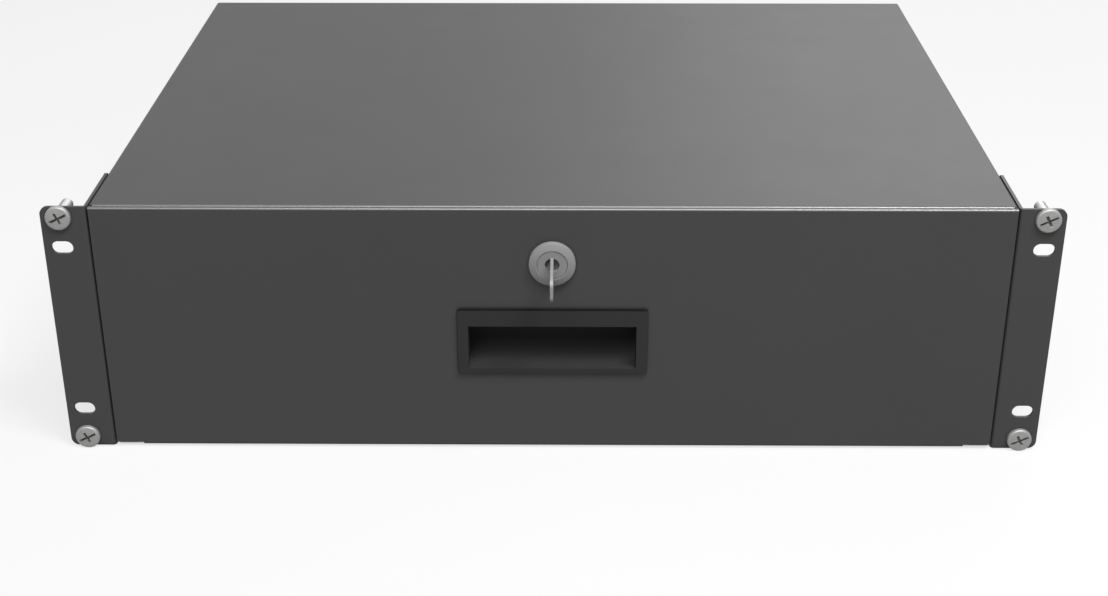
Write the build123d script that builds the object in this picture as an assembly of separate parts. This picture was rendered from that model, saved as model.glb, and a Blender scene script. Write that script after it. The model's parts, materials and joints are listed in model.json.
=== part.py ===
from build123d import *
import math
import os

# Sliding rack drawer, three units high: a folded steel housing between two slotted rack ears, and a
# drawer on ball-bearing telescopic slides, with a flush pull and a cam lock.
# Millimetres. +X is to the viewer's right, -Y towards the person who opens the drawer, +Z up.
# The origin is the middle of the rack hole pattern, on the rear faces of the ears.

# Rack standard
RACK_UNITS = 3
UNIT_HEIGHT = 44.45
HOLE_SPAN = 465.1
UNIT_EDGE_TO_HOLE = 6.35
HOLE_STEP = 15.875

# Rack ears
EAR_SHEET = 1.5
EAR_EDGE = 8.75
HOLE_TO_HOUSING = 13.65
EAR_SHORTFALL = 1.95
EAR_CORNER = 4.0
EAR_FLANGE_DEPTH = 41.3
EAR_FLANGE_CORNER = 1.5
SLOT_CLEARANCE = 0.6
SLOT_STROKE = 3.7

# Sheet metal of the housing and the drawer
SHEET = 1.2
BEND_INSIDE = 0.4
HEM_LEG = 8.0
CORNER_RELIEF = 2.0

# Housing
TOP_DROP = 0.1
LIP_CLEARANCE = 3.7
HEADER_HEIGHT = 12.6
HEADER_DEPTH = 9.8
HEADER_RELIEF = 0.6
REAR_INSET = 0.4
REAR_FLANGE = 10.0
REAR_ROOM = 6.2
TAB_TO_SLIDE = 5.0

# Drawer
FACE_PROUD = 0.4
FACE_GAP = 0.3
FACE_SIDE_GAP = 0.6
FACE_HEM_GAP = 0.2
PAN_LIFT = 0.4
TRAY_BELOW_HEADER = 8.3
TRAY_TO_REAR = 3.0
SIDE_FLANGE = 12.0
SIDE_HEM_GAP = 0.6

# Telescopic slides
SLIDE_HEIGHT = 46.0
SLIDE_LENGTH = 300.0
SLIDE_TRAVEL = 300.0
SLIDE_INSET = 2.3
SLIDE_SIDE_CLEARANCE = 1.1
RAIL_SHEET = 1.2
RAIL_BEND = 1.0
BALL_RADIUS = 1.75
BALL_CLEARANCE = 0.25
BALLS_PER_ROW = 5
OUTER_BALL_OFFSET = 2.2
INNER_BALL_OFFSET = 4.2
DRAWER_RACE_WRAP = 50.0
ACCESS_HOLE_RADIUS = 4.5
CAGE_SHEET = 0.6
CAGE_CLEARANCE = 0.3
CAGE_REACH = 1.2
CAGE_MARGIN = 10.0
POCKET_CLEARANCE = 0.15
BUMPER_LENGTH = 4.0
BUMPER_GAP = 0.3
BUMPER_CORNER = 2.0
BUMPER_SETBACK = 1.5

# Release levers of the drawer rails
LEVER_LENGTH = 52.0
LEVER_WIDTH = 8.0
LEVER_SHEET = 2.0
LEVER_INSET = 16.0
LEVER_CLEARANCE = 0.15
LEVER_PIN_RADIUS = 2.0
LEVER_PIN_HEAD_RADIUS = 3.4
LEVER_PIN_HEAD = 0.8

# Rack screws
RACK_SCREW_RADIUS = 3.0
RACK_SCREW_HEAD_RADIUS = 6.1
RACK_SCREW_HEAD = 2.4
RACK_SCREW_LENGTH = 16.0
RACK_SCREW_TURN = 26.0
CROSS_SPAN = 9.2
CROSS_SHORT_SPAN = 6.0
CROSS_WIDTH = 1.2
CROSS_DEPTH = 1.5

# Small screws, nuts and rivets
SCREW_RADIUS = 2.0
SCREW_HEAD_RADIUS = 3.9
SCREW_HEAD = 2.2
SCREW_HEAD_BEVEL = 0.8
SCREW_TIP = 0.8
SCREW_CLEARANCE = 0.1
NUT_FLATS = 7.0
NUT_HEIGHT = 3.2
BRACKET_SCREW_EDGE = 9.0
BRACKET_SCREW_STEP = 16.0
BRACKET_SCREW_INSET = 20.7
RAIL_SCREW_EDGE = 24.0
RAIL_SCREW_COUNT = 3
DRAWER_SCREW_EDGE = 15.0
RIVET_RADIUS = 1.6
RIVET_HEAD_RADIUS = 3.2
RIVET_HEAD = 1.2
RIVET_TAIL = 1.5
RIVET_TAIL_RADIUS = 2.0
RIVET_STEP = 20.0

# Flush pull
PULL_WIDTH = 92.2
PULL_HEIGHT = 35.4
PULL_BELOW_LOCK = 24.8
PULL_CORNER = 0.8
PULL_PLATE = 0.8
PULL_EDGE = 0.4
PULL_SEAT = 1.0
PULL_SEAT_INSET = 1.2
PULL_TOP_RIM = 9.0
PULL_BOTTOM_RIM = 3.2
PULL_SIDE_RIM = 5.3
PULL_BAR = 3.2
PULL_BAR_ROUND = 1.2
PULL_DEPTH = 19.0
PULL_HOOK = 5.0
PULL_SCOOP = 16.0
PULL_CROWN = 3.0
PULL_WALL = 1.6
PULL_FIT = 0.2
PULL_TAB = 1.4
PULL_TAB_LENGTH = 6.0
PULL_TAB_HEIGHT = 10.0

# Cam lock
BARREL_RADIUS = 9.5
BARREL_FLAT = 1.5
BARREL_FIT = 0.15
BARREL_END_GAP = 0.3
LOCK_PROUD = 3.5
LOCK_RING_LIP = 1.65
LOCK_RING_RIM = 2.7
LOCK_BEVEL = 3.2
LOCK_FACE_WIDTH = 0.75
LOCK_NUT_WALL = 2.5
LOCK_NUT_HEIGHT = 4.0
LOCK_NUT_CLEARANCE = 1.64
PLUG_HEAD = 1.5
PLUG_STEP = 1.6
PLUG_FIT = 0.1
PLUG_SINK = 0.2
KEYHOLE_MARGIN = 0.35
KEYHOLE_DEPTH = 3.0
CAM_SHEET = 2.0
CAM_RADIUS = 7.0
CAM_TIP_RADIUS = 5.0
CAM_OVERLAP = 8.0
CAM_GAP = 0.5
CAM_SQUARE = 7.0
CAM_SQUARE_FIT = 0.1
CAM_SCREW_HEAD_RADIUS = 5.2
CAM_SCREW_DEPTH = 2.0

# Key
KEY_SHEET = 1.4
KEY_FIT = 0.1
BLADE_HEIGHT = 6.2
BLADE_END = 4.9
BLADE_CUTS = (1.3, 0.7, 1.6, 1.0)
BOW_LENGTH = 27.5
BOW_HEIGHT = 11.2
BOW_CORNER = 3.2
BOW_GAP = 0.5
BOW_HOLE_RADIUS = 2.2

# Places of the ears and of the rack holes
panel_height = RACK_UNITS * UNIT_HEIGHT - EAR_SHORTFALL
panel_top = panel_height / 2
panel_bottom = -panel_top
panel_half = HOLE_SPAN / 2 + EAR_EDGE
outer_hole = RACK_UNITS * UNIT_HEIGHT / 2 - UNIT_EDGE_TO_HOLE
inner_hole = outer_hole - HOLE_STEP
slot_width = 2 * RACK_SCREW_RADIUS + SLOT_CLEARANCE
slot_length = slot_width + SLOT_STROKE
ear_flange_back = EAR_FLANGE_DEPTH - EAR_SHEET

# Slide section: depths are measured from the housing side inwards, heights from the slide's middle
race_radius = BALL_RADIUS + BALL_CLEARANCE + RAIL_SHEET / 2
cabinet_web = RAIL_SHEET / 2
outer_cage_web = RAIL_SHEET + CAGE_CLEARANCE + CAGE_SHEET / 2
middle_web = outer_cage_web + CAGE_SHEET / 2 + CAGE_CLEARANCE + RAIL_SHEET / 2
inner_cage_web = middle_web + RAIL_SHEET / 2 + CAGE_CLEARANCE + CAGE_SHEET / 2
outer_ball_depth = middle_web + OUTER_BALL_OFFSET
inner_ball_depth = inner_cage_web + INNER_BALL_OFFSET
slide_space = inner_ball_depth + race_radius + RAIL_SHEET / 2 + SLIDE_SIDE_CLEARANCE
drawer_web = slide_space - RAIL_SHEET / 2
cabinet_flange = SLIDE_HEIGHT / 2 - RAIL_SHEET / 2
outer_ball_height = cabinet_flange - race_radius
middle_flange = outer_ball_height - race_radius
inner_ball_height = middle_flange - race_radius
drawer_flange = inner_ball_height - race_radius

# Places from front to back
bend_middle = BEND_INSIDE + SHEET / 2
bend_outside = BEND_INSIDE + SHEET
face_hem_radius = (SHEET + FACE_HEM_GAP) / 2
side_hem_radius = (SHEET + SIDE_HEM_GAP) / 2
face_front = -EAR_SHEET - FACE_PROUD
face_back = face_front + SHEET
hem_back = face_back + FACE_HEM_GAP + SHEET
housing_front = hem_back + FACE_GAP
header_back = housing_front + HEADER_DEPTH
slide_front = housing_front + SLIDE_INSET
slide_rear = slide_front + SLIDE_LENGTH
slide_middle = (slide_front + slide_rear) / 2
rail_rear = slide_rear - BUMPER_GAP
cage_length = SLIDE_LENGTH - SLIDE_TRAVEL / 2 - CAGE_MARGIN
housing_back = slide_rear + BUMPER_LENGTH + REAR_ROOM
rear_outside = housing_back - REAR_INSET
rear_flange_front = rear_outside - REAR_FLANGE
drawer_back = rear_flange_front - TRAY_TO_REAR

# Places across and up
housing_half = HOLE_SPAN / 2 - HOLE_TO_HOUSING
inside_half = housing_half - SHEET
drawer_half = inside_half - slide_space
lip_end = drawer_half + LIP_CLEARANCE
header_half = inside_half - HEADER_RELIEF
face_half = housing_half - FACE_SIDE_GAP
housing_top = panel_top - TOP_DROP
roof_under = housing_top - SHEET
lip_top = panel_bottom + SHEET
header_bottom = housing_top - HEADER_HEIGHT
face_top = housing_top
pan_bottom = panel_bottom + PAN_LIFT
pan_floor = pan_bottom + SHEET
face_foot = pan_bottom + bend_outside
tray_top = header_bottom - TRAY_BELOW_HEADER

# Places of the release lever
lever_front = slide_front + LEVER_INSET
lever_back = lever_front + LEVER_LENGTH
lever_pivot = lever_back - LEVER_WIDTH / 2
lever_near = drawer_half + RAIL_SHEET + LEVER_CLEARANCE
lever_far = lever_near + LEVER_SHEET

# Places of the lock and the key
lock_ring_radius = BARREL_RADIUS + LOCK_RING_LIP
lock_face_radius = lock_ring_radius - LOCK_BEVEL
plug_head_radius = lock_face_radius - LOCK_FACE_WIDTH
plug_radius = plug_head_radius - PLUG_STEP
keyhole_radius = BLADE_HEIGHT / 2 + KEYHOLE_MARGIN
lock_nut_flats = 2 * (BARREL_RADIUS + LOCK_NUT_WALL)
lock_height = header_bottom - LOCK_NUT_CLEARANCE - lock_nut_flats / math.sqrt(3)
cam_front = header_back + CAM_GAP
cam_reach = header_bottom + CAM_OVERLAP - lock_height
plug_length = cam_front - face_front
barrel_length = plug_length - BARREL_END_GAP
blade_length = BOW_GAP + LOCK_PROUD + plug_length - BLADE_END

# Places of the flush pull
pull_top = lock_height - PULL_BELOW_LOCK
pull_bottom = pull_top - PULL_HEIGHT
pull_middle = (pull_top + pull_bottom) / 2
pull_front = face_front - PULL_SEAT - PULL_PLATE
mouth_top = pull_top - PULL_TOP_RIM
mouth_bottom = pull_bottom + PULL_BOTTOM_RIM
mouth_half = PULL_WIDTH / 2 - PULL_SIDE_RIM
hollow_top = mouth_top + PULL_HOOK
hollow_back = face_front + PULL_DEPTH
scoop_radius = min(PULL_SCOOP, hollow_back - face_back)
bar_back = pull_front + PULL_BAR


def along_x(section, start, end):
    """Carry a section drawn with Y across and Z up from x = start to x = end."""
    return extrude(Plane.YZ.offset(start) * section, end - start)


def along_y(section, start, end):
    """Carry a section drawn with X across and Z up from y = start to y = end."""
    return extrude(Plane.XZ.offset(-start) * section, start - end)


def along_z(section, start, end):
    """Carry a section drawn with X across and Y up from z = start to z = end."""
    return extrude(Plane.XY.offset(start) * section, end - start)


def block(low, high):
    """A box between two opposite corners."""
    size = [b - a for a, b in zip(low, high)]
    middle = [(a + b) / 2 for a, b in zip(low, high)]
    return Pos(*middle) * Box(*size)


def rod_x(radius, start, end, y, z):
    """A round rod along X."""
    return Pos((start + end) / 2, y, z) * Rot(0, 90, 0) * Cylinder(radius, abs(end - start))


def folded(points, sheet=SHEET):
    """The section of a sheet bent along a polyline that is its middle line."""
    return trace(FilletPolyline(*points, radius=BEND_INSIDE + sheet / 2), sheet)


def turned(*outline):
    """A solid turned about the z axis from the half section inside a closed outline."""
    return revolve(Plane.XZ * make_face(outline), Axis.Z)


def spread(first, last, count):
    """Evenly spaced places from first to last."""
    return [first + (last - first) * i / (count - 1) for i in range(count)]


def other_side(shape):
    """The left-hand copy of a right-hand piece."""
    return mirror(shape, about=Plane.YZ)


def both_sides(shapes):
    """Right-hand solids and their left-hand copies as one group."""
    return Compound(children=list(shapes) + [other_side(shape) for shape in shapes])


def save(name, shape):
    """Write one piece to its own file."""
    export_step(shape, os.path.join("parts", name + ".step"))


# Fastener places on the right-hand side: (y, z)
tab_low = SLIDE_HEIGHT / 2 + TAB_TO_SLIDE
tab_high = roof_under - CORNER_RELIEF
bracket_screw_row = ear_flange_back - BRACKET_SCREW_EDGE
bracket_screw_places = [
    (y, side * (panel_top - BRACKET_SCREW_INSET))
    for y in (bracket_screw_row, bracket_screw_row - BRACKET_SCREW_STEP)
    for side in (-1, 1)
]
rail_screw_places = [
    (y, 0)
    for y in spread(ear_flange_back + RAIL_SCREW_EDGE, slide_rear - RAIL_SCREW_EDGE, RAIL_SCREW_COUNT)
]
drawer_screw_places = [
    (y, 0)
    for y in spread(lever_back + DRAWER_SCREW_EDGE, drawer_back - DRAWER_SCREW_EDGE, RAIL_SCREW_COUNT)
]
rivet_places = [
    (rear_outside - REAR_FLANGE / 2, side * ((tab_low + tab_high) / 2 + step * RIVET_STEP / 2))
    for side in (-1, 1)
    for step in (-1, 1)
]


def side_holes(places, radius, start, end):
    """Holes through both side walls at the given places."""
    holes = [rod_x(radius, start, end, y, z) for y, z in places]
    return holes + [other_side(hole) for hole in holes]


def housing_cover():
    """Roof, sides and inward bottom lips from one sheet, with a folded header at the front edge."""
    wall = housing_half - SHEET / 2
    roof = housing_top - SHEET / 2
    lip = panel_bottom + SHEET / 2
    right = [(wall, roof), (wall, lip), (lip_end, lip)]
    left = [(-x, z) for x, z in reversed(right)]
    cover = along_y(folded(left + right), housing_front, housing_back)
    front_strip = block(
        (-header_half, housing_front - SHEET, roof_under - SHEET),
        (header_half, housing_front + bend_outside, housing_top + SHEET),
    )
    drop = housing_front + SHEET / 2
    foot = header_bottom + SHEET / 2
    lap = housing_front + 2 * bend_outside
    header = folded([(lap, roof), (drop, roof), (drop, foot), (header_back, foot)])
    cover = cover - front_strip + along_x(header, -header_half, header_half)
    reach = (inside_half - SHEET, housing_half + SHEET)
    cover -= side_holes(bracket_screw_places + rail_screw_places, SCREW_RADIUS + SCREW_CLEARANCE, *reach)
    return cover - side_holes(rivet_places, RIVET_RADIUS + SCREW_CLEARANCE, *reach)


def rear_panel():
    """Back plate with folded top and bottom flanges, and two riveted tabs on each side."""
    middle = rear_outside - SHEET / 2
    top = roof_under - SHEET / 2
    bottom = panel_bottom + SHEET / 2
    corner = inside_half - SHEET / 2
    flange_half = lip_end - CORNER_RELIEF
    plate = folded([(rear_flange_front, top), (middle, top), (middle, bottom), (rear_flange_front, bottom)])
    panel = along_x(plate, -flange_half, flange_half)
    wing = block(
        (flange_half - SHEET, rear_outside - SHEET, lip_top + CORNER_RELIEF),
        (inside_half - bend_outside, rear_outside, roof_under - CORNER_RELIEF),
    )
    tab = folded([(inside_half - 3 * bend_outside, middle), (corner, middle), (corner, rear_flange_front)])
    wing += along_z(tab, tab_low, tab_high)
    wing += along_z(tab, lip_top + CORNER_RELIEF, -tab_low)
    panel += [wing, other_side(wing)]
    reach = (inside_half - 2 * SHEET, housing_half)
    return panel - side_holes(rivet_places, RIVET_RADIUS + SCREW_CLEARANCE, *reach)


def rear_rivets():
    """Blind rivets: a domed head outside the housing and an upset tail inside."""
    dome = (RIVET_HEAD_RADIUS**2 + RIVET_HEAD**2) / (2 * RIVET_HEAD)
    half = math.asin(RIVET_HEAD_RADIUS / dome) / 2
    crest = (dome * math.sin(half), RIVET_HEAD - dome * (1 - math.cos(half)))
    grip = 2 * SHEET
    rivet = turned(
        ThreePointArc((RIVET_HEAD_RADIUS, 0), crest, (0, RIVET_HEAD)),
        Polyline(
            (0, RIVET_HEAD),
            (0, -grip - RIVET_TAIL),
            (RIVET_TAIL_RADIUS, -grip - RIVET_TAIL),
            (RIVET_TAIL_RADIUS, -grip),
            (RIVET_RADIUS, -grip),
            (RIVET_RADIUS, 0),
            (RIVET_HEAD_RADIUS, 0),
        ),
    )
    return both_sides([Pos(housing_half, y, z) * Rot(0, 90, 0) * rivet for y, z in rivet_places])


def ear_bracket():
    """Rack ear and side flange from one sheet, with two slots at each end of the ear."""
    flange = housing_half + EAR_SHEET / 2
    middle = -EAR_SHEET / 2
    bracket = along_z(
        folded([(panel_half, middle), (flange, middle), (flange, ear_flange_back)], EAR_SHEET),
        panel_bottom,
        panel_top,
    )
    bracket = fillet(bracket.edges().filter_by(Axis.Y).group_by(Axis.X)[-1], EAR_CORNER)
    bracket = fillet(bracket.edges().filter_by(Axis.X).group_by(Axis.Y)[-1], EAR_FLANGE_CORNER)
    slot = along_y(SlotOverall(slot_length, slot_width), -2 * EAR_SHEET, EAR_SHEET)
    for hole in (outer_hole, inner_hole, -inner_hole, -outer_hole):
        bracket -= Pos(HOLE_SPAN / 2, 0, hole) * slot
    reach = (inside_half, housing_half + 2 * EAR_SHEET)
    return bracket - [rod_x(SCREW_RADIUS + SCREW_CLEARANCE, *reach, y, z) for y, z in bracket_screw_places]


def pan_screw(head_radius, head, radius, length):
    """A pan-head screw standing on z = 0, its head upwards."""
    cap = Cylinder(head_radius, head, align=(Align.CENTER, Align.CENTER, Align.MIN))
    cap = chamfer(cap.edges().group_by(Axis.Z)[-1], SCREW_HEAD_BEVEL)
    return cap + Cylinder(radius, length, align=(Align.CENTER, Align.CENTER, Align.MAX))


def hex_nut(flats, height, bore):
    """A hexagon nut standing on z = 0."""
    return extrude(RegularPolygon(flats / 2, 6, major_radius=False) - Circle(bore), height)


def rack_screws():
    """The four screws in the outer slots; one arm of each cross recess is longer, for a flat blade."""
    screw = pan_screw(RACK_SCREW_HEAD_RADIUS, RACK_SCREW_HEAD, RACK_SCREW_RADIUS, RACK_SCREW_LENGTH)
    for span in ((CROSS_SPAN, CROSS_WIDTH), (CROSS_WIDTH, CROSS_SHORT_SPAN)):
        screw -= Pos(0, 0, RACK_SCREW_HEAD) * Box(*span, 2 * CROSS_DEPTH)
    screw = Rot(90, 0, 0) * Rot(0, 0, RACK_SCREW_TURN) * screw
    seats = [(x, z) for x in (-HOLE_SPAN / 2, HOLE_SPAN / 2) for z in (-outer_hole, outer_hole)]
    return Compound(children=[Pos(x, -EAR_SHEET, z) * screw for x, z in seats])


def bracket_screws():
    """Pan-head screws that hold the ear brackets to the housing sides."""
    length = EAR_SHEET + SHEET + NUT_HEIGHT + SCREW_TIP
    screw = Rot(0, 90, 0) * pan_screw(SCREW_HEAD_RADIUS, SCREW_HEAD, SCREW_RADIUS, length)
    return both_sides([Pos(housing_half + EAR_SHEET, y, z) * screw for y, z in bracket_screw_places])


def bracket_nuts():
    """Nuts of the bracket screws, inside the housing."""
    nut = Rot(0, -90, 0) * hex_nut(NUT_FLATS, NUT_HEIGHT, SCREW_RADIUS + SCREW_CLEARANCE)
    return both_sides([Pos(inside_half, y, z) * nut for y, z in bracket_screw_places])


def rail_section(web, flange, ball_depth, ball_height, wrap_start, wrap):
    """A channel whose two flanges end in races wrapped around the upper and lower ball rows."""
    across = inside_half - ball_depth
    back = inside_half - web
    corners = [(across, flange), (back, flange), (back, -flange), (across, -flange)]
    channel = FilletPolyline(*corners, radius=RAIL_BEND + RAIL_SHEET / 2)
    upper = CenterArc((across, ball_height), race_radius, wrap_start, wrap)
    lower = CenterArc((across, -ball_height), race_radius, -wrap_start, -wrap)
    return trace([channel, upper, lower], RAIL_SHEET)


def sunk_head(y, z, clearance=0.0):
    """The cone of a countersunk head, flush with the inner face of the cabinet rail."""
    cone = Cone(SCREW_RADIUS + clearance, SCREW_RADIUS + RAIL_SHEET + clearance, RAIL_SHEET)
    return Pos(inside_half - RAIL_SHEET / 2, y, z) * Rot(0, -90, 0) * cone


def cabinet_rail():
    """Outer rail, screwed to the housing side; it carries the outer ball rows."""
    section = rail_section(cabinet_web, cabinet_flange, outer_ball_depth, outer_ball_height, 90, 90)
    rail = along_y(section, slide_front, slide_rear + BUMPER_LENGTH)
    return rail - [sunk_head(y, z, SCREW_CLEARANCE) for y, z in rail_screw_places]


def middle_rail():
    """Middle rail between the outer and inner ball rows, with holes to reach the cabinet rail's screws."""
    section = rail_section(middle_web, middle_flange, inner_ball_depth, inner_ball_height, 90, 90)
    rail = along_y(section, slide_front, rail_rear)
    reach = (inside_half - inner_cage_web, inside_half - outer_cage_web)
    return rail - [rod_x(ACCESS_HOLE_RADIUS, *reach, y, z) for y, z in rail_screw_places]


def drawer_rail():
    """Inner rail, screwed to the drawer side; it runs on the inner ball rows."""
    wrap = DRAWER_RACE_WRAP
    section = rail_section(drawer_web, drawer_flange, inner_ball_depth, inner_ball_height, 270, wrap)
    rail = along_y(section, slide_front, rail_rear)
    reach = (drawer_half - SHEET, drawer_half + 2 * RAIL_SHEET)
    return rail - [rod_x(SCREW_RADIUS + SCREW_CLEARANCE, *reach, y, z) for y, z in drawer_screw_places]


def rail_screws():
    """Countersunk screws of the cabinet rails."""
    tip = housing_half + NUT_HEIGHT + SCREW_TIP
    screws = [sunk_head(y, z) + rod_x(SCREW_RADIUS, inside_half, tip, y, z) for y, z in rail_screw_places]
    return both_sides(screws)


def rail_nuts():
    """Nuts of the cabinet rail screws, outside the housing."""
    nut = Rot(0, 90, 0) * hex_nut(NUT_FLATS, NUT_HEIGHT, SCREW_RADIUS + SCREW_CLEARANCE)
    return both_sides([Pos(housing_half, y, z) * nut for y, z in rail_screw_places])


def drawer_screws():
    """Pan-head screws through the drawer sides into the drawer rails."""
    length = SHEET + RAIL_SHEET + SCREW_TIP
    screw = Rot(0, -90, 0) * pan_screw(SCREW_HEAD_RADIUS, SCREW_HEAD, SCREW_RADIUS, length)
    return both_sides([Pos(drawer_half - SHEET, y, z) * screw for y, z in drawer_screw_places])


def ball_places():
    """Places of the balls of one row along the slide."""
    step = cage_length / BALLS_PER_ROW
    return [slide_middle + (i - (BALLS_PER_ROW - 1) / 2) * step for i in range(BALLS_PER_ROW)]


def ball_cage(web, ball_depth, ball_height):
    """A thin channel whose arms have a pocket for each ball of the upper and lower rows."""
    arm_end = inside_half - ball_depth - CAGE_REACH
    back = inside_half - web
    corners = [(arm_end, ball_height), (back, ball_height), (back, -ball_height), (arm_end, -ball_height)]
    half = cage_length / 2
    cage = along_y(folded(corners, CAGE_SHEET), slide_middle - half, slide_middle + half)
    pocket = Cylinder(BALL_RADIUS + POCKET_CLEARANCE, 2 * ball_height + 2 * BALL_RADIUS)
    return cage - [Pos(inside_half - ball_depth, y, 0) * pocket for y in ball_places()]


def balls(ball_depth, ball_height):
    """All balls of the left and right slides that run at one depth."""
    x = inside_half - ball_depth
    rows = (-ball_height, ball_height)
    return both_sides([Pos(x, y, z) * Sphere(BALL_RADIUS) for y in ball_places() for z in rows])


def slide_bumper():
    """Closing stop in the rear end of the cabinet rail."""
    near = drawer_half + BUMPER_SETBACK
    far = inside_half - RAIL_SHEET
    section = Pos((near + far) / 2, 0) * RectangleRounded(far - near, 2 * drawer_flange, BUMPER_CORNER)
    return along_y(section, slide_rear, slide_rear + BUMPER_LENGTH)


def release_lever():
    """Flat lever in the drawer rail that frees the drawer from its slides."""
    outline = Pos((lever_front + lever_back) / 2, 0) * SlotOverall(LEVER_LENGTH, LEVER_WIDTH)
    outline -= Pos(lever_pivot, 0) * Circle(LEVER_PIN_RADIUS + SCREW_CLEARANCE)
    return along_x(outline, lever_near, lever_far)


def lever_pins():
    """Rivets on the drawer rails that the release levers turn on."""
    seat = drawer_half + RAIL_SHEET
    neck = lever_far + LEVER_CLEARANCE
    pin = rod_x(LEVER_PIN_RADIUS, seat, neck, lever_pivot, 0)
    pin += rod_x(LEVER_PIN_HEAD_RADIUS, neck, neck + LEVER_PIN_HEAD, lever_pivot, 0)
    return both_sides([pin])


def lock_hole():
    """Round hole with two flats that keeps the lock from turning in the face."""
    flats = 2 * (BARREL_RADIUS - BARREL_FLAT + BARREL_FIT)
    return Pos(0, lock_height) * (Circle(BARREL_RADIUS + BARREL_FIT) & Rectangle(flats, 4 * BARREL_RADIUS))


def pull_hole():
    """Cut-out in the face for the body of the pull."""
    low = mouth_bottom - PULL_WALL - PULL_FIT
    high = hollow_top + PULL_WALL + PULL_FIT
    return Pos(0, (low + high) / 2) * Rectangle(2 * (mouth_half + PULL_WALL + PULL_FIT), high - low)


def drawer_pan():
    """Face, bottom and back wall from one sheet; the face's top edge is folded back into a hem."""
    front = face_front + SHEET / 2
    back = drawer_back - SHEET / 2
    bottom = pan_bottom + SHEET / 2
    tray = folded([(front, face_foot + bend_outside), (front, bottom), (back, bottom), (back, tray_top)])
    pan = along_x(tray, -drawer_half, drawer_half)
    crown = face_top - SHEET / 2 - face_hem_radius
    pan += block((-face_half, face_front, face_foot), (face_half, face_back, crown))
    fold = [
        Line((front, crown - HEM_LEG), (front, crown)),
        CenterArc((front + face_hem_radius, crown), face_hem_radius, 180, -180),
        Line((front + 2 * face_hem_radius, crown), (front + 2 * face_hem_radius, crown - HEM_LEG)),
    ]
    pan += along_x(trace(fold, SHEET), -face_half, face_half)
    for cut_out in (lock_hole(), pull_hole()):
        pan -= along_y(cut_out, face_front - SHEET, face_back + SHEET)
    return pan


def drawer_side():
    """Side wall with a hemmed top edge and inward flanges welded to the face, bottom and back wall."""
    wall = drawer_half - SHEET / 2
    floor = pan_floor + SHEET / 2
    crown = tray_top - SHEET / 2 - side_hem_radius
    hem = wall - 2 * side_hem_radius
    inner = wall - SIDE_FLANGE
    front = face_back + SHEET / 2
    back = drawer_back - SHEET - SHEET / 2
    profile = [
        FilletPolyline((wall, crown), (wall, floor), (inner, floor), radius=bend_middle),
        CenterArc((wall - side_hem_radius, crown), side_hem_radius, 0, 180),
        Line((hem, crown), (hem, crown - HEM_LEG)),
    ]
    side = along_y(trace(profile, SHEET), front + 2 * bend_outside, back - 2 * bend_outside)
    ends = folded([(inner, front), (wall, front), (wall, back), (inner, back)])
    side += along_z(ends, pan_floor + 2 * bend_outside, crown - HEM_LEG - CORNER_RELIEF)
    reach = (drawer_half - 2 * SHEET, drawer_half + SHEET)
    return side - [rod_x(SCREW_RADIUS + SCREW_CLEARANCE, *reach, y, z) for y, z in drawer_screw_places]


def pull_shell():
    """Outside of the cup behind the face, rounded like the hollow inside it."""
    low = mouth_bottom - PULL_WALL
    high = hollow_top + PULL_WALL
    back = hollow_back + PULL_WALL
    start = pull_front + PULL_PLATE
    corners = [(start, low), (back, low), (back, high), (start, high)]
    radii = [0, scoop_radius + PULL_WALL, PULL_CROWN + PULL_WALL, 0]
    section = make_face(FilletPolyline(*corners, radius=radii, close=True))
    return along_x(section, -mouth_half - PULL_WALL, mouth_half + PULL_WALL)


def pull_hollow():
    """Room for the fingers: a scooped floor, and a hook up behind the top rim."""
    ahead = pull_front - PULL_PLATE
    corners = [
        (ahead, mouth_bottom),
        (hollow_back, mouth_bottom),
        (hollow_back, hollow_top),
        (bar_back, hollow_top),
        (bar_back, mouth_top),
        (ahead, mouth_top),
    ]
    radii = [0, scoop_radius, PULL_CROWN, 0, PULL_BAR_ROUND, 0]
    section = make_face(FilletPolyline(*corners, radius=radii, close=True))
    return along_x(section, -mouth_half, mouth_half)


def pull_tab():
    """Snap wedge on the cup's end that catches behind the face."""
    wall = mouth_half + PULL_WALL
    root = wall - PULL_WALL / 2
    front = face_back + PULL_FIT / 2
    back = front + PULL_TAB_LENGTH
    wedge = Polygon((root, front), (wall + PULL_TAB, front), (wall, back), (root, back), align=None)
    return along_z(wedge, pull_middle - PULL_TAB_HEIGHT / 2, pull_middle + PULL_TAB_HEIGHT / 2)


def flush_pull():
    """Moulded cup: a bezel that stands on a seat, the hollow shell behind it and two snap wedges."""
    plate = Pos(0, pull_middle) * RectangleRounded(PULL_WIDTH, PULL_HEIGHT, PULL_CORNER)
    bezel = along_y(plate, pull_front, pull_front + PULL_PLATE)
    bezel = chamfer(bezel.faces().sort_by(Axis.Y)[0].outer_wire().edges(), PULL_EDGE)
    width = PULL_WIDTH - 2 * PULL_SEAT_INSET
    height = PULL_HEIGHT - 2 * PULL_SEAT_INSET
    seat = along_y(Pos(0, pull_middle) * Rectangle(width, height), pull_front + PULL_PLATE, face_front)
    tab = pull_tab()
    return bezel + seat + pull_shell() - pull_hollow() + [tab, other_side(tab)]


# The lock's own frame stands on the front of the face, its z axis towards the viewer
lock_place = Pos(0, face_front, lock_height) * Rot(90, 0, 0)


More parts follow.
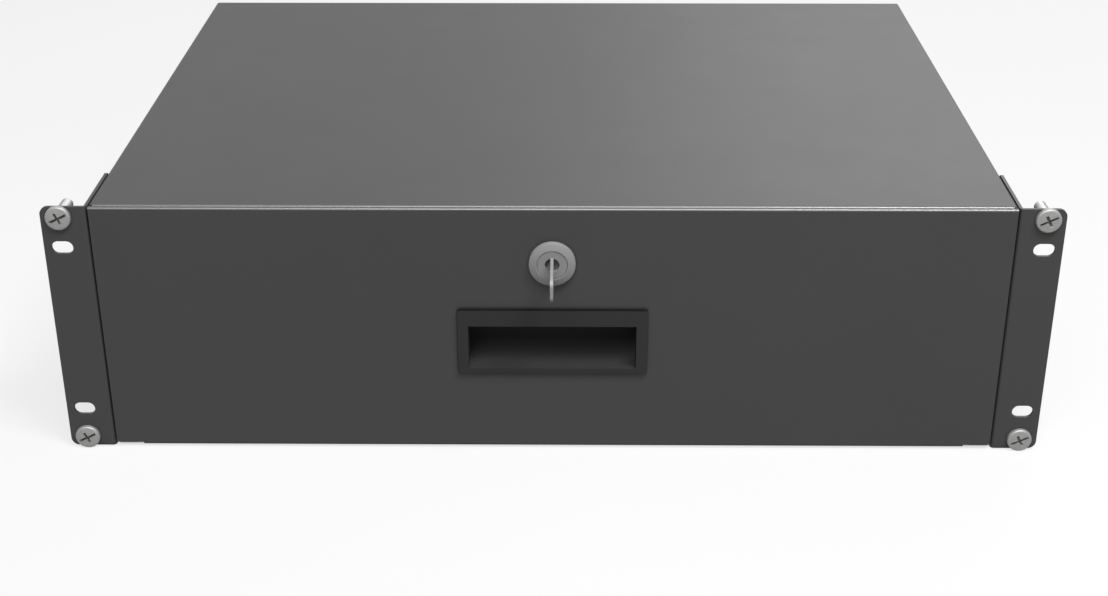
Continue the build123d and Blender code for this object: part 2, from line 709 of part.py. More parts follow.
def lock_body():
    """Bevelled ring and threaded barrel with two flats, bored for the plug."""
    bore = plug_radius + PLUG_FIT
    sink = plug_head_radius + PLUG_FIT
    body = turned(
        Polyline(
            (bore, -barrel_length),
            (BARREL_RADIUS, -barrel_length),
            (BARREL_RADIUS, 0),
            (lock_ring_radius, 0),
            (lock_ring_radius, LOCK_RING_RIM),
            (lock_face_radius, LOCK_PROUD),
            (sink, LOCK_PROUD),
            (sink, LOCK_PROUD - PLUG_HEAD),
            (bore, LOCK_PROUD - PLUG_HEAD),
            close=True,
        )
    )
    flat = block(
        (BARREL_RADIUS - BARREL_FLAT, -BARREL_RADIUS, -barrel_length),
        (BARREL_RADIUS, BARREL_RADIUS, 0),
    )
    return lock_place * (body - [flat, other_side(flat)])


def lock_nut():
    """Hexagon nut that clamps the lock to the back of the face."""
    nut = hex_nut(lock_nut_flats, LOCK_NUT_HEIGHT, BARREL_RADIUS + BARREL_FIT)
    return lock_place * Pos(0, 0, -SHEET - LOCK_NUT_HEIGHT) * nut


def lock_plug():
    """Turning core: head with a round keyhole recess, keyway, and a square end for the cam."""
    top = LOCK_PROUD - PLUG_SINK
    end = -plug_length - CAM_SHEET
    core = turned(
        Polyline(
            (0, -plug_length),
            (plug_radius, -plug_length),
            (plug_radius, LOCK_PROUD - PLUG_HEAD),
            (plug_head_radius, LOCK_PROUD - PLUG_HEAD),
            (plug_head_radius, top),
            (keyhole_radius, top),
            (keyhole_radius, top - KEYHOLE_DEPTH),
            (0, top - KEYHOLE_DEPTH),
            close=True,
        )
    )
    core += block((-CAM_SQUARE / 2, -CAM_SQUARE / 2, end), (CAM_SQUARE / 2, CAM_SQUARE / 2, -plug_length))
    slot_half = KEY_SHEET / 2 + KEY_FIT
    slot_high = BLADE_HEIGHT / 2 + KEY_FIT
    slot_end = LOCK_PROUD + BOW_GAP - blade_length - KEY_FIT
    core -= block((-slot_half, -slot_high, slot_end), (slot_half, slot_high, LOCK_PROUD))
    depth = CAM_SHEET + CAM_SCREW_DEPTH + SCREW_CLEARANCE
    core -= Pos(0, 0, end) * Cylinder(SCREW_RADIUS + SCREW_CLEARANCE, 2 * depth)
    return lock_place * core


def lock_cam():
    """Locking arm on the plug's square; it lies sideways when unlocked and turns up behind the header."""
    tip = Pos(cam_reach - CAM_TIP_RADIUS, 0) * Circle(CAM_TIP_RADIUS)
    arm = make_hull(Circle(CAM_RADIUS).edges() + tip.edges())
    hole = CAM_SQUARE + 2 * CAM_SQUARE_FIT
    arm -= Rectangle(hole, hole)
    return lock_place * Pos(0, 0, -plug_length - CAM_SHEET) * extrude(arm, CAM_SHEET)


def cam_screw():
    """Screw that holds the cam on the plug."""
    screw = pan_screw(CAM_SCREW_HEAD_RADIUS, SCREW_HEAD, SCREW_RADIUS, CAM_SHEET + CAM_SCREW_DEPTH)
    return lock_place * Pos(0, 0, -plug_length - CAM_SHEET) * Rot(180, 0, 0) * screw


def key():
    """Flat key, upright in the lock: a long bow with a ring hole, and a blade with cuts."""
    shoulder = face_front - LOCK_PROUD - BOW_GAP
    half = BLADE_HEIGHT / 2
    point = shoulder + blade_length
    bow = Pos(shoulder - BOW_LENGTH / 2, 0) * RectangleRounded(BOW_LENGTH, BOW_HEIGHT, BOW_CORNER)
    bow -= Pos(shoulder - BOW_LENGTH + BOW_HEIGHT / 2, 0) * Circle(BOW_HOLE_RADIUS)
    root = shoulder - BOW_CORNER
    neck = point - half
    blade = Polygon((root, -half), (neck, -half), (point, 0), (neck, half), (root, half), align=None)
    step = (blade_length - half) / (len(BLADE_CUTS) + 1)
    for i, cut in enumerate(BLADE_CUTS):
        notch = Polygon((-cut, 0), (cut, 0), (0, cut), align=None)
        blade -= Pos(shoulder + step * (i + 1), -half) * notch
    return Pos(0, 0, lock_height) * along_x(bow + blade, -KEY_SHEET / 2, KEY_SHEET / 2)


os.makedirs("parts", exist_ok=True)

right_hand = {
    "ear_bracket": ear_bracket(),
    "cabinet_rail": cabinet_rail(),
    "middle_rail": middle_rail(),
    "drawer_rail": drawer_rail(),
    "outer_ball_cage": ball_cage(outer_cage_web, outer_ball_depth, outer_ball_height),
    "inner_ball_cage": ball_cage(inner_cage_web, inner_ball_depth, inner_ball_height),
    "slide_bumper": slide_bumper(),
    "release_lever": release_lever(),
    "drawer_side": drawer_side(),
}
for name, piece in right_hand.items():
    save(name + "_right", piece)
    save(name + "_left", other_side(piece))

single = {
    "housing_cover": housing_cover(),
    "rear_panel": rear_panel(),
    "rear_rivets": rear_rivets(),
    "rack_screws": rack_screws(),
    "bracket_screws": bracket_screws(),
    "bracket_nuts": bracket_nuts(),
    "rail_screws": rail_screws(),
    "rail_nuts": rail_nuts(),
    "outer_balls": balls(outer_ball_depth, outer_ball_height),
    "inner_balls": balls(inner_ball_depth, inner_ball_height),
    "drawer_pan": drawer_pan(),
    "drawer_screws": drawer_screws(),
    "lever_pins": lever_pins(),
    "flush_pull": flush_pull(),
    "lock_body": lock_body(),
    "lock_nut": lock_nut(),
    "lock_plug": lock_plug(),
    "lock_cam": lock_cam(),
    "cam_screw": cam_screw(),
    "key": key(),
}
for name, piece in single.items():
    save(name, piece)
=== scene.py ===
# %% [markdown]
# A sliding rack drawer: a dark grey folded steel housing between two slotted rack ears, and a
# drawer on ball-bearing slides with a flush pull and a cam lock. The CAD frame already holds every
# sheet, rail and moulding at its real size, so this lesson finds the finishes, and remakes the
# small turned pieces, such as screws and balls, as smooth surfaces, because a small round piece in
# a wide CAD group comes out faceted.

# %% Load the frame
import json
import math

import bmesh
import bpy
import numpy as np
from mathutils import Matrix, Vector


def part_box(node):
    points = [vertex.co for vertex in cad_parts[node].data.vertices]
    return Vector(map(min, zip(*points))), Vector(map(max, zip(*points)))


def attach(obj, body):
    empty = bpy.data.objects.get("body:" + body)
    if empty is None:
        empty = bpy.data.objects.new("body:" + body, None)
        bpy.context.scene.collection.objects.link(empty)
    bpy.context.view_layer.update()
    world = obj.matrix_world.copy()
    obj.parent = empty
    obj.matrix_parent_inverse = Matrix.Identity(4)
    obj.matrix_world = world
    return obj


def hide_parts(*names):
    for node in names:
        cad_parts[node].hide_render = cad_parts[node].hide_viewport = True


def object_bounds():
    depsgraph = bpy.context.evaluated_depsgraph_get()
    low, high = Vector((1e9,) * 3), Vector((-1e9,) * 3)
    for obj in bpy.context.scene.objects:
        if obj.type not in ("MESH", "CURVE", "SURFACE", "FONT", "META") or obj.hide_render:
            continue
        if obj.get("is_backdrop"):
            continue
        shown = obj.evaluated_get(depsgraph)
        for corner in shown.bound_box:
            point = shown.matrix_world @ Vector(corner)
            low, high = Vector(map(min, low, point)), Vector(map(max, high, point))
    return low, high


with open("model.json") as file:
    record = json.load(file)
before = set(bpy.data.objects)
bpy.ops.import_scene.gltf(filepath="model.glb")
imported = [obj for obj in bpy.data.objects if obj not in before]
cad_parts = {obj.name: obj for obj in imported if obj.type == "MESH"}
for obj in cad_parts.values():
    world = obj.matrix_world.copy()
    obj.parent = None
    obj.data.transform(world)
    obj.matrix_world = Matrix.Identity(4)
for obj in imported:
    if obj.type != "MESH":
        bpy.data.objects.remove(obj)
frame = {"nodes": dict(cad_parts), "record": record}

MM = 0.001
FAR = 1.0  # a metre, past every edge of the drawer
cad_low, cad_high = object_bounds()
nodes = frame["nodes"]
print("CAD box in mm:", [round((b - a) / MM, 1) for a, b in zip(cad_low, cad_high)])

# %% [markdown]
# Every finish starts the same way: a Principled shader and the Object coordinates of the piece. The
# CAD pieces all sit at the origin, so Object coordinates are metres on the real drawer. The nodes
# could be wired by hand in the shader editor, but a few helpers that add a node and set its sockets
# by name keep each finish short.

# %% Nodes of a finish


def add(tree, kind, **sockets):
    """Adds one shader node and sets the input sockets that are named, by value or by link."""
    made = tree.nodes.new("ShaderNode" + kind)
    for label, value in sockets.items():
        socket = made.inputs[label.replace("_", " ")]
        if isinstance(value, bpy.types.NodeSocket):
            tree.links.new(value, socket)
        else:
            socket.default_value = value
    return made


def wire(tree, shader, **sockets):
    """Links node outputs to the shader's sockets by name."""
    for label, output in sockets.items():
        tree.links.new(output, shader.inputs[label.replace("_", " ")])


def new_finish(name):
    """A new material: its node tree, its Principled shader and its Object coordinates."""
    material = bpy.data.materials.new(name)
    material.use_nodes = True
    tree = material.node_tree
    shader = tree.nodes["Principled BSDF"]
    place = tree.nodes.new("ShaderNodeTexCoord").outputs["Object"]
    print("finish", name)
    return material, tree, shader, place


def maths(tree, operation, *values):
    """One Math node on one or two numbers."""
    made = tree.nodes.new("ShaderNodeMath")
    made.operation = operation
    for value, socket in zip(values, made.inputs):
        tree.links.new(value, socket)
    return made.outputs["Value"]


def fade(tree, value, start, end, low=0.0, high=1.0):
    """A number that goes from low to high while the value goes from start to end."""
    made = add(tree, "MapRange", Value=value, From_Min=start, From_Max=end, To_Min=low, To_Max=high)
    return made.outputs["Result"]


def mix(tree, factor, one, other):
    """One colour where the factor is 0, the other where it is 1."""
    return add(tree, "MixRGB", Fac=factor, Color1=one, Color2=other).outputs["Color"]


print("finishes are made of shader nodes of Blender", bpy.app.version_string)

# %% [markdown]
# No real surface is one flat colour. A noise on the Object coordinates makes a number wander over
# the surface, and that number mixes two near greys, varies the gloss or raises fine bumps. A
# painted picture could do the same, but a noise has no seams, and its scale is simply lumps per
# metre.

# %% Patterns of a finish
RIPPLE_SCALE = 900


def speckle(tree, place, scale, low=0, high=1, detail=2.0, stretch=(1, 1, 1)):
    """A number that wanders between low and high, by a noise that may be stretched along an axis."""
    spread = add(tree, "Mapping", Vector=place, Scale=stretch).outputs["Vector"]
    noise = add(tree, "TexNoise", Vector=spread, Scale=scale, Detail=detail)
    return fade(tree, noise.outputs["Fac"], 0, 1, low, high)


def tint(tree, factor, dark, light):
    """A colour between two near greys, so that no surface is one flat colour."""
    ramp = tree.nodes.new("ShaderNodeValToRGB")
    ramp.color_ramp.elements[0].color = (*dark, 1)
    ramp.color_ramp.elements[1].color = (*light, 1)
    tree.links.new(factor, ramp.inputs["Fac"])
    return ramp.outputs["Color"]


def relief(tree, shader, height, strength, depth):
    """Bumps of about the given depth in metres on the shader's normal."""
    bump = add(tree, "Bump", Height=height, Strength=strength, Distance=depth)
    tree.links.new(bump.outputs["Normal"], shader.inputs["Normal"])


print("the ripple of the coat has lumps of", round(1 / RIPPLE_SCALE / MM, 1), "mm")

# %% [markdown]
# The housing, ears and drawer are powder coated steel, and two marks of light and shade are painted
# into the coat. The fold between front and top gets a painted highlight: a paler, glossier and
# partly metallic colour that stands in for the bright line of light along it. It could be painted by
# hand, but the surface's own direction finds it: only on the fold does the normal point both forward
# and up. The narrow gaps round the drawer front get painted shade, nearly black. An Ambient
# Occlusion node finds those: it sends short rays out of a point and tells how many get away. It
# counts only near the front, and not on what faces down, so that the sheets inside and below get
# none.

# %% Painted highlight and painted shade of the powder coat
FOLD_BEGINS, FOLD_FULL = -0.1, -0.45
GAP_REACH = 6 * MM
GAP_RAYS = 4
GAP_BEGINS, GAP_FULL = 0.62, 0.30
SHADE_DEPTH = 20 * MM
FACING_DOWN, FACING_ASIDE = -0.7, -0.5


# painted highlight: the fold gets a paler, glossier, partly metallic colour for the bright line of
# light along it
def fold_highlight_mask(tree, place):
    """1 on folds from front to top, 0 on flat sheet: the normal's Y part times its Z part."""
    normal = add(tree, "SeparateXYZ", Vector=place.node.outputs["Normal"]).outputs
    both = maths(tree, "MULTIPLY", normal["Y"], normal["Z"])
    return fade(tree, both, FOLD_BEGINS, FOLD_FULL)


# painted shade: narrow gaps near the front are painted nearly black where shade falls
def gap_shade_mask(tree, place):
    """1 in narrow gaps at the front, 0 elsewhere: the share of lost rays times two steps."""
    free = add(tree, "AmbientOcclusion", Distance=GAP_REACH)
    free.samples = GAP_RAYS
    depth = add(tree, "SeparateXYZ", Vector=place).outputs["Y"]
    facing = add(tree, "SeparateXYZ", Vector=place.node.outputs["Normal"]).outputs["Z"]
    narrow = fade(tree, free.outputs["AO"], GAP_BEGINS, GAP_FULL)
    in_front = fade(tree, depth, SHADE_DEPTH, SHADE_DEPTH / 2, high=narrow)
    return fade(tree, facing, FACING_DOWN, FACING_ASIDE, high=in_front)


# prints the reach of the painted shade in the gaps
print("painted_shade lies where surfaces are within", GAP_REACH / MM, "mm of each other")

# %% [markdown]
# Powder coat is dry paint that is sprayed on as dust and melted in an oven, which leaves a satin
# skin with a very fine orange-peel ripple. A flat grey would look like paper, so the ripple is a
# fine bump, and the gloss and the grey wander slightly on a larger scale. On the fold the painted
# highlight is smoother, paler and partly metallic, and the painted shade in the gaps is nearly black
# and quite dull.

# %% Powder coat
COAT_DARK = (0.033, 0.033, 0.034)
COAT_LIGHT = (0.038, 0.038, 0.039)
COAT_ROUGHNESS = (0.44, 0.48)
COAT_GLOSS = 0.34
COAT_CLOUDS, COAT_PATCHES = 14, 40
RIPPLE_STRENGTH = 0.12
RIPPLE_DEPTH = 0.05 * MM
# colour, gloss and metal of the painted highlight on the fold
HIGHLIGHT_COLOUR = (0.115, 0.115, 0.116, 1)
HIGHLIGHT_ROUGHNESS = 0.28
HIGHLIGHT_METAL = 0.35
# colour and gloss of the painted shade, in the coat's gaps and on the pull's ledge
SHADE_COLOUR = (0.004, 0.004, 0.004, 1)
SHADE_ROUGHNESS = 1.0

powder_coat, tree, shader, place = new_finish("powder_coat")
shader.inputs["Specular IOR Level"].default_value = COAT_GLOSS
# painted highlight on the fold, then painted shade in the narrow gaps
fold_highlight = fold_highlight_mask(tree, place)
gap_shade = gap_shade_mask(tree, place)
cloudy = tint(tree, speckle(tree, place, COAT_CLOUDS), COAT_DARK, COAT_LIGHT)
satin = speckle(tree, place, COAT_PATCHES, *COAT_ROUGHNESS)
sheen = fade(tree, fold_highlight, 0, 1, satin, HIGHLIGHT_ROUGHNESS)
wire(
    tree,
    shader,
    Base_Color=mix(tree, gap_shade, mix(tree, fold_highlight, cloudy, HIGHLIGHT_COLOUR), SHADE_COLOUR),
    Roughness=fade(tree, gap_shade, 0, 1, sheen, SHADE_ROUGHNESS),
    Metallic=fade(tree, fold_highlight, 0, 1, high=HIGHLIGHT_METAL),
)
relief(tree, shader, speckle(tree, place, RIPPLE_SCALE), RIPPLE_STRENGTH, RIPPLE_DEPTH)

# %% [markdown]
# Rails, cages, nuts and screws are zinc-plated steel, the balls are polished and the key is nickel
# plated. A rail is rolled from strip, so its shine has long streaks along the rail: the same noise,
# stretched along it. The key's flat sides are brushed up and down. A screw has no such direction,
# and its plating is cloudy all over. One recipe with other numbers gives all of them.

# %% Plated steel
EVEN = (1, 1, 1)
STRIP = (1, 0.02, 1)
UPRIGHT = (0.2, 1, 0.2)
PLATING_DETAIL = 4
SCRATCH_STRENGTH = 0.1
SCRATCH_DEPTH = 0.02 * MM


def plating(name, dark, light, rough, scale, stretch=EVEN, metallic=1.0):
    """Plated steel whose colour, gloss and tiny scratches follow one stretched noise."""
    material, tree, shader, place = new_finish(name)
    shader.inputs["Metallic"].default_value = metallic
    cloudy = speckle(tree, place, scale, 0, 1, PLATING_DETAIL, stretch)
    wire(
        tree,
        shader,
        Base_Color=tint(tree, cloudy, dark, light),
        Roughness=speckle(tree, place, scale * 2, *rough, PLATING_DETAIL, stretch),
    )
    scratches = speckle(tree, place, scale * 3, stretch=stretch)
    relief(tree, shader, scratches, SCRATCH_STRENGTH, SCRATCH_DEPTH)
    return material


rolled_zinc = plating(
    "rolled_zinc", (0.40, 0.41, 0.42), (0.50, 0.51, 0.52), (0.28, 0.40), scale=300, stretch=STRIP
)
screw_zinc = plating(
    "screw_zinc", (0.25, 0.25, 0.245), (0.32, 0.32, 0.315), (0.46, 0.56), scale=420, metallic=0.55
)
polished_steel = plating(
    "polished_steel", (0.55, 0.55, 0.56), (0.62, 0.62, 0.63), (0.08, 0.16), scale=500
)
key_nickel = plating(
    "key_nickel",
    (0.22, 0.22, 0.216),
    (0.27, 0.27, 0.265),
    (0.52, 0.60),
    scale=500,
    stretch=UPRIGHT,
    metallic=0.15,
)

# %% [markdown]
# The lock's ring and plug are turned on a lathe and nickel plated, so the tool leaves fine rings
# about the lock's axis. The distance from that axis is the length of the position after the Y part
# is dropped, and a noise of that one number gives rings of uneven width.

# %% Turned nickel of the lock
NICKEL_DARK = (0.19, 0.19, 0.19)
NICKEL_LIGHT = (0.24, 0.24, 0.24)
NICKEL_ROUGHNESS = (0.50, 0.60)
NICKEL_GLOSS = 0.25
NICKEL_PATCHES = 300
LATHE_RINGS = 3000
LATHE_STRENGTH = 0.15
LATHE_DEPTH = 0.02 * MM
lock_low, lock_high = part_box("lock_body")
lock_z = (lock_low.z + lock_high.z) / 2

lock_nickel, tree, shader, place = new_finish("lock_nickel")
shader.inputs["Specular IOR Level"].default_value = NICKEL_GLOSS
centred = add(tree, "Mapping", Vector=place, Location=(0, 0, -lock_z), Scale=(1, 0, 1))
reach = tree.nodes.new("ShaderNodeVectorMath")
reach.operation = "LENGTH"
tree.links.new(centred.outputs["Vector"], reach.inputs[0])
rings = tree.nodes.new("ShaderNodeTexNoise")
rings.noise_dimensions = "1D"
rings.inputs["Scale"].default_value = LATHE_RINGS
tree.links.new(reach.outputs["Value"], rings.inputs["W"])
wire(
    tree,
    shader,
    Base_Color=tint(tree, rings.outputs["Fac"], NICKEL_DARK, NICKEL_LIGHT),
    Roughness=speckle(tree, place, NICKEL_PATCHES, *NICKEL_ROUGHNESS),
)
relief(tree, shader, rings.outputs["Fac"], LATHE_STRENGTH, LATHE_DEPTH)
print("lock axis at z =", round(lock_z / MM, 2), "mm")

# %% [markdown]
# The pull and the release levers are moulded black plastic. The mould is spark-eroded to a fine matt
# grain, so the plastic has small soft pits and a broad weak shine. The narrow ledge on top of the
# pull's rim gets painted shade, dark and dull, for the shade line that lies along it; its height and
# its upward normal find it. The bumpers are rubber: darker, duller and coarser.

# %% Black plastic and rubber
LEDGE_HEIGHT = 1.2 * MM
LEDGE_BEGINS, LEDGE_FULL = 0.15, 0.5
MOULDED_GLOSS = 0.12
MOULDED_CLOUDS, MOULDED_PATCHES = 30, 120
GRAIN_STRENGTH = 0.3


# painted shade: the upward ledge just below the pull's top is painted dark and dull
def ledge(tree, place, top):
    """1 on what faces up just below a height, 0 elsewhere: a step in facing times one in height."""
    facing = add(tree, "SeparateXYZ", Vector=place.node.outputs["Normal"]).outputs["Z"]
    height = add(tree, "SeparateXYZ", Vector=place).outputs["Z"]
    upward = fade(tree, facing, LEDGE_BEGINS, LEDGE_FULL)
    return fade(tree, height, top - LEDGE_HEIGHT, top - LEDGE_HEIGHT / 2, high=upward)


def moulded(name, dark, light, rough, grain, depth, ledge_top=FAR):
    """A dull moulded material whose mould grain is a fine bump, with painted shade on a ledge."""
    material, tree, shader, place = new_finish(name)
    shader.inputs["Specular IOR Level"].default_value = MOULDED_GLOSS
    # painted shade on the ledge on top of the pull's rim
    ledge_shade = ledge(tree, place, ledge_top)
    plain = tint(tree, speckle(tree, place, MOULDED_CLOUDS), dark, light)
    matt = speckle(tree, place, MOULDED_PATCHES, *rough)
    wire(
        tree,
        shader,
        Base_Color=mix(tree, ledge_shade, plain, SHADE_COLOUR),
        Roughness=fade(tree, ledge_shade, 0, 1, matt, SHADE_ROUGHNESS),
    )
    relief(tree, shader, speckle(tree, place, grain), GRAIN_STRENGTH, depth)
    return material


pull_plastic = moulded(
    "pull_plastic",
    dark=(0.024, 0.024, 0.024),
    light=(0.028, 0.028, 0.028),
    rough=(0.56, 0.64),
    grain=2400,
    depth=0.04 * MM,
    ledge_top=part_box("flush_pull")[1][2],
)
bumper_rubber = moulded(
    "bumper_rubber",
    dark=(0.012, 0.012, 0.012),
    light=(0.018, 0.018, 0.018),
    rough=(0.75, 0.85),
    grain=1500,
    depth=0.08 * MM,
)

# %% [markdown]
# The CAD pieces keep their shape, and each takes the finish of its slot in the record. The turned
# lock pieces and the screws share slots with plainer pieces, so a few nodes get a finish of their
# own afterwards.

# %% Finishes on the CAD pieces
slot_finish = {
    "powder_coat": powder_coat,
    "zinc_steel": rolled_zinc,
    "ball_steel": polished_steel,
    "black_plastic": pull_plastic,
    "bumper_rubber": bumper_rubber,
    "lock_metal": lock_nickel,
    "key_steel": key_nickel,
}
node_slot = {entry["node"]: entry["material_slot"] for entry in frame["record"]["subparts"]}


def wear(piece, material):
    """Puts one finish into all of a piece's material slots."""
    piece.data.materials.clear()
    piece.data.materials.append(material)


for node, slot in node_slot.items():
    wear(nodes[node], slot_finish[slot])
for node in ("rail_screws", "lever_pins", "lock_cam"):
    wear(nodes[node], screw_zinc)
print("finishes on", len(nodes), "CAD pieces")

# %% [markdown]
# A turned piece is a stack of closed curves round an axis. Each curve is a radius and a height for
# every angle, so one grid of numbers, curves by angles, is the whole surface. A circle has one
# radius, a hexagon or a screwdriver cross has a radius that changes with the angle, and a curve of
# radius nought closes an end.

# %% Stacked curves
NOUGHT = 1e-9


def angles(count, *corners):
    """Angles round the axis: an even fan, and each corner angle mirrored into all four quarters."""
    fan = np.linspace(0, 2 * np.pi, count, endpoint=False)
    corner = np.array(corners)
    mirrored = np.concatenate([corner, np.pi - corner, np.pi + corner, 2 * np.pi - corner])
    return np.unique(np.round(np.concatenate([fan, mirrored % (2 * np.pi)]), 6))


def box_curve(turn, half_x, half_y):
    """Radius of a rectangle at each angle t: the nearer of half_x / |cos t| and half_y / |sin t|."""
    across = half_x / np.maximum(np.abs(np.cos(turn)), NOUGHT)
    up = half_y / np.maximum(np.abs(np.sin(turn)), NOUGHT)
    return np.minimum(across, up)


def stack(turn, curves):
    """Points of curves by angles: x = r cos t, y = r sin t, z = h; r and h may change with t."""
    radius = np.array([np.broadcast_to(r, turn.shape) for r, _ in curves])
    height = np.array([np.broadcast_to(h, turn.shape) for _, h in curves])
    return np.stack([radius * np.cos(turn), radius * np.sin(turn), height], axis=-1)


corner = float(box_curve(np.pi / 4, 1, 1))
print("a square of half side 1 reaches", round(corner, 3), "at its corners")

# %% [markdown]
# Blender takes such a grid as a list of points and a list of quads, where each quad joins a point
# to its neighbours on the next curve and at the next angle. All points of a closed end lie in one
# place, so they are merged. The surface is shaded smooth, but edges that turn sharply stay crisp.
# Each piece then rides on the body that carries it and stands for its CAD node, which it hides.

# %% A mesh from a grid
SAME_POINT = 1e-7
CRISP = math.radians(35)


def close_ends(mesh):
    """Merges the points of each closed end, turns all faces outwards and keeps sharp edges crisp."""
    work = bmesh.new()
    work.from_mesh(mesh)
    bmesh.ops.remove_doubles(work, verts=work.verts, dist=SAME_POINT)
    bmesh.ops.recalc_face_normals(work, faces=work.faces)
    work.to_mesh(mesh)
    work.free()
    mesh.polygons.foreach_set("use_smooth", np.ones(len(mesh.polygons), bool))
    mesh.set_sharp_from_angle(angle=CRISP)


def make_piece(name, copies, body, node, material, ring=False, pit=(0, None)):
    """One mesh from copies of a grid of curves by angles; ring joins the last curve to the first.

    pit is a count of first rows of faces, and the other finish, of painted shade, that they wear.
    """
    count, rows, cols, _ = copies.shape
    copy, row, col = np.meshgrid(
        np.arange(count), np.arange(rows if ring else rows - 1), np.arange(cols), indexing="ij"
    )
    below, beside = (row + 1) % rows, (col + 1) % cols
    first = copy * rows * cols
    corners = [row * cols + col, below * cols + col, below * cols + beside, row * cols + beside]
    quads = np.stack([first + c for c in corners], axis=-1).reshape(-1, 4)
    mesh = bpy.data.meshes.new(name)
    mesh.from_pydata(copies.reshape(-1, 3).tolist(), [], quads.tolist())
    pit_rows, shade_finish = pit
    mesh.polygons.foreach_set("material_index", (row < pit_rows).ravel().astype(np.int32))
    close_ends(mesh)
    mesh.materials.append(material)
    if shade_finish:
        mesh.materials.append(shade_finish)
    piece = bpy.data.objects.new(name, mesh)
    bpy.context.scene.collection.objects.link(piece)
    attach(piece, body)
    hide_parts(node)
    print(name, "has", len(mesh.polygons), "faces in", count, "copies")


print("edges over", round(math.degrees(CRISP)), "degrees stay crisp")

# %% [markdown]
# All the screws have a low pan head with a cross drive. Cutting a cross into a round head by hand
# leaves ragged edges, so here the curves themselves change shape: the inner ones are the cross, and
# they flow outwards into circles. The thread is a radius that saws up and down along the shank and
# slips by one pitch in every turn.

# %% Shape of a screw
CROWN, HEAD_EDGE = 0.16, 0.45  # parts of the head's height
DRIVE_FLOOR = 0.7  # part of the drive's width
RIM, RIM_DROP = 0.08 * MM, 0.05 * MM
THREAD_DEPTH, THREAD_START = 0.45, 0.3  # parts of the pitch
TIP, TIP_BEVEL = 0.5, 0.6  # parts of the pitch
RACK_HEAD = 2.4 * MM
RACK_HEAD_RADIUS = 6.1 * MM
RACK_SHANK = 3.0 * MM
RACK_PITCH = 1.0 * MM
RACK_DRIVE = (9.2 * MM, 6.0 * MM, 1.3 * MM)
RACK_DRIVE_DEPTH = 1.8 * MM


def cross_curve(turn, half_long, half_short, half_width):
    """Radius of a cross at each angle: the further side of its two bars."""
    bar = box_curve(turn, half_long, half_width)
    return np.maximum(bar, box_curve(turn, half_width, half_short))


def thread_curves(turn, radius, start, end, pitch, depth, steps=6):
    """Curves down a thread: r = radius - depth * |saw|; saw runs from -1 to 1 in each pitch."""
    heights = np.arange(start, end, -pitch / steps)
    phase = heights[:, None] / pitch - turn[None, :] / (2 * np.pi)
    saw = 2 * (phase - np.floor(phase)) - 1
    return list(zip(radius - depth * np.abs(saw), heights))


def pan_screw(head_radius, head, shank, length, pitch, drive, depth):
    """A screw on z = 0: recess, cross rim, dome h = head - crown (r / R)^2, edge, thread, tip."""
    half_long, half_short, half_width = (size / 2 for size in drive)
    ends = math.atan2(half_width, half_long), math.atan2(half_short, half_width)
    turn = angles(72, ends[0], math.pi / 4, ends[1])
    cross = cross_curve(turn, half_long, half_short, half_width)
    crown, edge = CROWN * head, HEAD_EDGE * head
    shoulder = head_radius - edge

    def dome(radius):
        return head - crown * (radius / head_radius) ** 2

    floor = head - depth
    curves = [(0, floor), (DRIVE_FLOOR * cross, floor), (cross, dome(cross) - RIM_DROP)]
    flow = [cross + RIM + (shoulder - cross) * t for t in (0.0, 0.25, 0.5, 0.75, 1.0)]
    curves += [(r, dome(r)) for r in flow]
    for bend in np.linspace(0, np.pi / 2, 6)[1:]:
        drop = edge * (1 - np.cos(bend))
        curves.append((shoulder + edge * np.sin(bend), dome(shoulder) - drop))
    curves += [(head_radius, 0), (shank, 0)]
    tip = -length + TIP * pitch
    curves += thread_curves(turn, shank, -THREAD_START * pitch, tip, pitch, THREAD_DEPTH * pitch)
    curves += [(shank - TIP_BEVEL * pitch, -length), (0, -length)]
    return stack(turn, curves)


low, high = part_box("rack_screws")
length = high.y - low.y - RACK_HEAD
screw = pan_screw(
    RACK_HEAD_RADIUS, RACK_HEAD, RACK_SHANK, length, RACK_PITCH, RACK_DRIVE, RACK_DRIVE_DEPTH
)
print("a rack screw has", len(screw), "curves of", len(screw[0]), "points")

# %% [markdown]
# The four rack screws hold the ears. Their drive is combined: a long slot for a flat blade, crossed
# by a shorter one. The first rows of faces line the drive, and they wear a darker and duller finish
# than the head: painted shade in the recess. The CAD box of the set says where the screws stand.

# %% Rack screws
RIGHT, FORWARD, BACK = (1, 0, 0), (0, -1, 0), (0, 1, 0)
RACK_DRIVE_TURN = math.radians(26)
DRIVE_ROWS = 2


def stand(points, spots, side, out):
    """Copies of a shape at each spot, with its x axis along side and its z axis along out."""
    axes = np.stack([side, np.cross(out, side), out])
    return np.array(spots)[:, None, None, :] + points @ axes


# painted shade in the screw drives: darker and duller than the head
drive_shade = plating(
    "drive_shade", (0.13, 0.13, 0.127), (0.18, 0.18, 0.176), (0.55, 0.70), scale=600, metallic=0.3
)
DRIVE = (DRIVE_ROWS, drive_shade)
columns = (low.x + RACK_HEAD_RADIUS, high.x - RACK_HEAD_RADIUS)
levels = (low.z + RACK_HEAD_RADIUS, high.z - RACK_HEAD_RADIUS)
spots = [(x, low.y + RACK_HEAD, z) for x in columns for z in levels]
long_arm = (math.cos(RACK_DRIVE_TURN), 0, math.sin(RACK_DRIVE_TURN))
copies = stand(screw, spots, long_arm, FORWARD)
make_piece("rack_screw_set", copies, "housing", "rack_screws", screw_zinc, pit=DRIVE)

# %% [markdown]
# The same surface makes the small screws: four on each ear bracket, three in each drawer side and
# one behind the lock. They are ordinary M4 screws with a plain cross drive, so only the numbers
# change. Left and right walls mirror each other, so one helper sets a row of copies on both.

